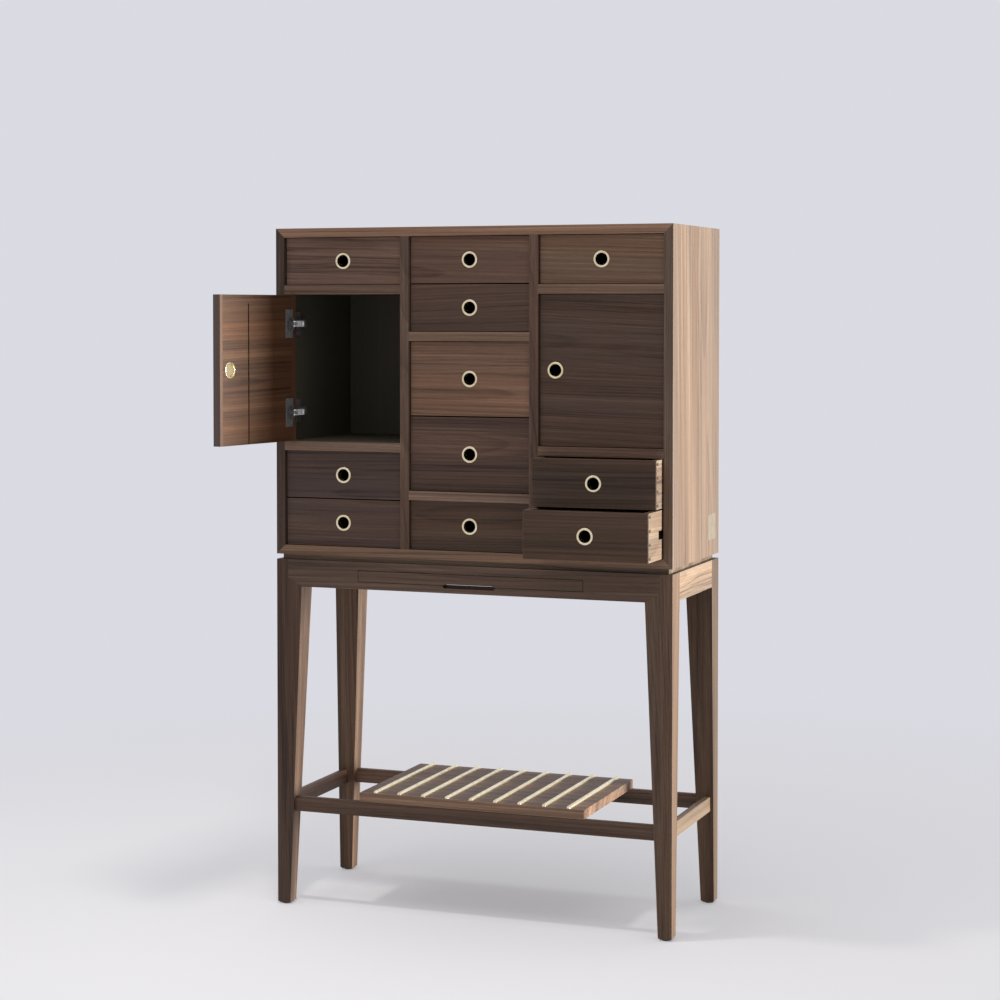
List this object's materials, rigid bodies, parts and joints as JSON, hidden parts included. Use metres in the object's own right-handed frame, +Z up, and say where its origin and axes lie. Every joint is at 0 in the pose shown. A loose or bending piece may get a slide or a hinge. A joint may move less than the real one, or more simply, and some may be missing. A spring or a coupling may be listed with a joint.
{
  "type": "cabinet on stand",
  "caption": "Wooden cabinet on a tall tapered stand: a mitred case of ring-pull drawers and doors, a shallow drawer in the apron and a low barred tray between the stretchers.",
  "frame": {"origin": "on the floor, in the middle between the four feet, which is also under the middle of the closed case", "axes": "+X to the right seen from the front, +Y to the back, +Z up; the drawers pull out along -Y"},
  "size_m": [0.9267, 0.6344, 1.5],
  "materials": {
    "case_wood": "oiled dark walnut",
    "drawer_wood": "oiled dark walnut",
    "stand_wood": "oiled dark walnut",
    "tray_wood": "oiled walnut",
    "inner_wood": "plain walnut",
    "brass": "polished",
    "hinge_steel": "bright nickel plate",
    "glide": "plain"
  },
  "bodies": {
    "cabinet": {"apron_back": "stand_wood", "apron_front": "stand_wood", "apron_left": "stand_wood", "apron_right": "stand_wood", "back_panel": "inner_wood", "case_bottom": "case_wood", "case_side_left": "case_wood", "case_side_right": "case_wood", "case_top": "case_wood", "divider_left": "case_wood", "divider_right": "case_wood", "drawer_runners": "inner_wood", "foot_glides": "glide", "hinge_mounts": "hinge_steel", "leg_back_left": "stand_wood", "leg_back_right": "stand_wood", "leg_front_left": "stand_wood", "leg_front_right": "stand_wood", "plinth": "case_wood", "shelves": "case_wood", "slim_guides": "inner_wood", "stretcher_back": "stand_wood", "stretcher_front": "stand_wood", "stretcher_left": "stand_wood", "stretcher_right": "stand_wood", "tray_bars": "brass", "tray_board": "tray_wood"},
    "drawer_left_bottom": {"drawer_left_bottom": "drawer_wood", "ring_drawer_left_bottom": "brass"},
    "drawer_left_middle": {"drawer_left_middle": "drawer_wood", "ring_drawer_left_middle": "brass"},
    "door_left": {"door_left": "case_wood", "door_ring_left": "brass", "door_hinge_cups_left": "hinge_steel"},
    "hinge_arms_left": {"hinge_arms_left": "hinge_steel"},
    "hinge_links_left": {"hinge_links_left": "hinge_steel"},
    "drawer_left_top": {"drawer_left_top": "drawer_wood", "ring_drawer_left_top": "brass"},
    "drawer_centre_bottom": {"drawer_centre_bottom": "drawer_wood", "ring_drawer_centre_bottom": "brass"},
    "drawer_centre_fourth": {"drawer_centre_fourth": "drawer_wood", "ring_drawer_centre_fourth": "brass"},
    "drawer_centre_third": {"drawer_centre_third": "drawer_wood", "ring_drawer_centre_third": "brass"},
    "drawer_centre_second": {"drawer_centre_second": "drawer_wood", "ring_drawer_centre_second": "brass"},
    "drawer_centre_top": {"drawer_centre_top": "drawer_wood", "ring_drawer_centre_top": "brass"},
    "drawer_right_lower": {"drawer_right_lower": "drawer_wood", "ring_drawer_right_lower": "brass"},
    "drawer_right_upper": {"drawer_right_upper": "drawer_wood", "ring_drawer_right_upper": "brass"},
    "door_right": {"door_right": "case_wood", "door_ring_right": "brass", "door_hinge_cups_right": "hinge_steel"},
    "hinge_arms_right": {"hinge_arms_right": "hinge_steel"},
    "hinge_links_right": {"hinge_links_right": "hinge_steel"},
    "drawer_right_top": {"drawer_right_top": "drawer_wood", "ring_drawer_right_top": "brass"},
    "slim_drawer": {"slim_drawer": "drawer_wood"}
  },
  "joints": [
    {"name": "drawer_left_bottom_slide", "type": "slide", "parent": "cabinet", "child": "drawer_left_bottom", "axis": [0, -1, 0], "range_m": [0, 0.23]},
    {"name": "drawer_left_middle_slide", "type": "slide", "parent": "cabinet", "child": "drawer_left_middle", "axis": [0, -1, 0], "range_m": [0, 0.23]},
    {"name": "door_left_hinge", "type": "hinge", "parent": "cabinet", "child": "door_left", "pos_m": [-0.432, -0.1815, 1.19325], "axis": [0, 0, -1], "range_deg": [-100, 10]},
    {"name": "hinge_arms_left_pivot", "type": "hinge", "parent": "cabinet", "child": "hinge_arms_left", "pos_m": [-0.426, -0.1515, 1.19325], "axis": [0, 0, -1], "range_deg": [-100, 10]},
    {"name": "hinge_links_left_pivot", "type": "hinge", "parent": "door_left", "child": "hinge_links_left", "pos_m": [-0.40193, -0.20102, 1.19325], "axis": [0, 0, -1], "range_deg": [-10, 100]},
    {"name": "drawer_left_top_slide", "type": "slide", "parent": "cabinet", "child": "drawer_left_top", "axis": [0, -1, 0], "range_m": [0, 0.23]},
    {"name": "drawer_centre_bottom_slide", "type": "slide", "parent": "cabinet", "child": "drawer_centre_bottom", "axis": [0, -1, 0], "range_m": [0, 0.23]},
    {"name": "drawer_centre_fourth_slide", "type": "slide", "parent": "cabinet", "child": "drawer_centre_fourth", "axis": [0, -1, 0], "range_m": [0, 0.23]},
    {"name": "drawer_centre_third_slide", "type": "slide", "parent": "cabinet", "child": "drawer_centre_third", "axis": [0, -1, 0], "range_m": [0, 0.23]},
    {"name": "drawer_centre_second_slide", "type": "slide", "parent": "cabinet", "child": "drawer_centre_second", "axis": [0, -1, 0], "range_m": [0, 0.23]},
    {"name": "drawer_centre_top_slide", "type": "slide", "parent": "cabinet", "child": "drawer_centre_top", "axis": [0, -1, 0], "range_m": [0, 0.23]},
    {"name": "drawer_right_lower_slide", "type": "slide", "parent": "cabinet", "child": "drawer_right_lower", "axis": [0, -1, 0], "range_m": [-0.109, 0.121]},
    {"name": "drawer_right_upper_slide", "type": "slide", "parent": "cabinet", "child": "drawer_right_upper", "axis": [0, -1, 0], "range_m": [-0.054, 0.176]},
    {"name": "door_right_hinge", "type": "hinge", "parent": "cabinet", "child": "door_right", "pos_m": [0.432, -0.1815, 1.19325], "axis": [0, 0, 1], "range_deg": [0, 110]},
    {"name": "hinge_arms_right_pivot", "type": "hinge", "parent": "cabinet", "child": "hinge_arms_right", "pos_m": [0.426, -0.1515, 1.19325], "axis": [0, 0, 1], "range_deg": [0, 110]},
    {"name": "hinge_links_right_pivot", "type": "hinge", "parent": "door_right", "child": "hinge_links_right", "pos_m": [0.418, -0.1485, 1.19325], "axis": [0, 0, 1], "range_deg": [-110, 0]},
    {"name": "drawer_right_top_slide", "type": "slide", "parent": "cabinet", "child": "drawer_right_top", "axis": [0, -1, 0], "range_m": [0, 0.23]},
    {"name": "slim_drawer_slide", "type": "slide", "parent": "cabinet", "child": "slim_drawer", "axis": [0, -1, 0], "range_m": [0, 0.2]}
  ],
  "couplings": [
    {"joint": "hinge_arms_left_pivot", "follows": "door_left_hinge", "ratio": 1},
    {"joint": "hinge_links_left_pivot", "follows": "door_left_hinge", "ratio": -1},
    {"joint": "hinge_arms_right_pivot", "follows": "door_right_hinge", "ratio": 1},
    {"joint": "hinge_links_right_pivot", "follows": "door_right_hinge", "ratio": -1}
  ]
}
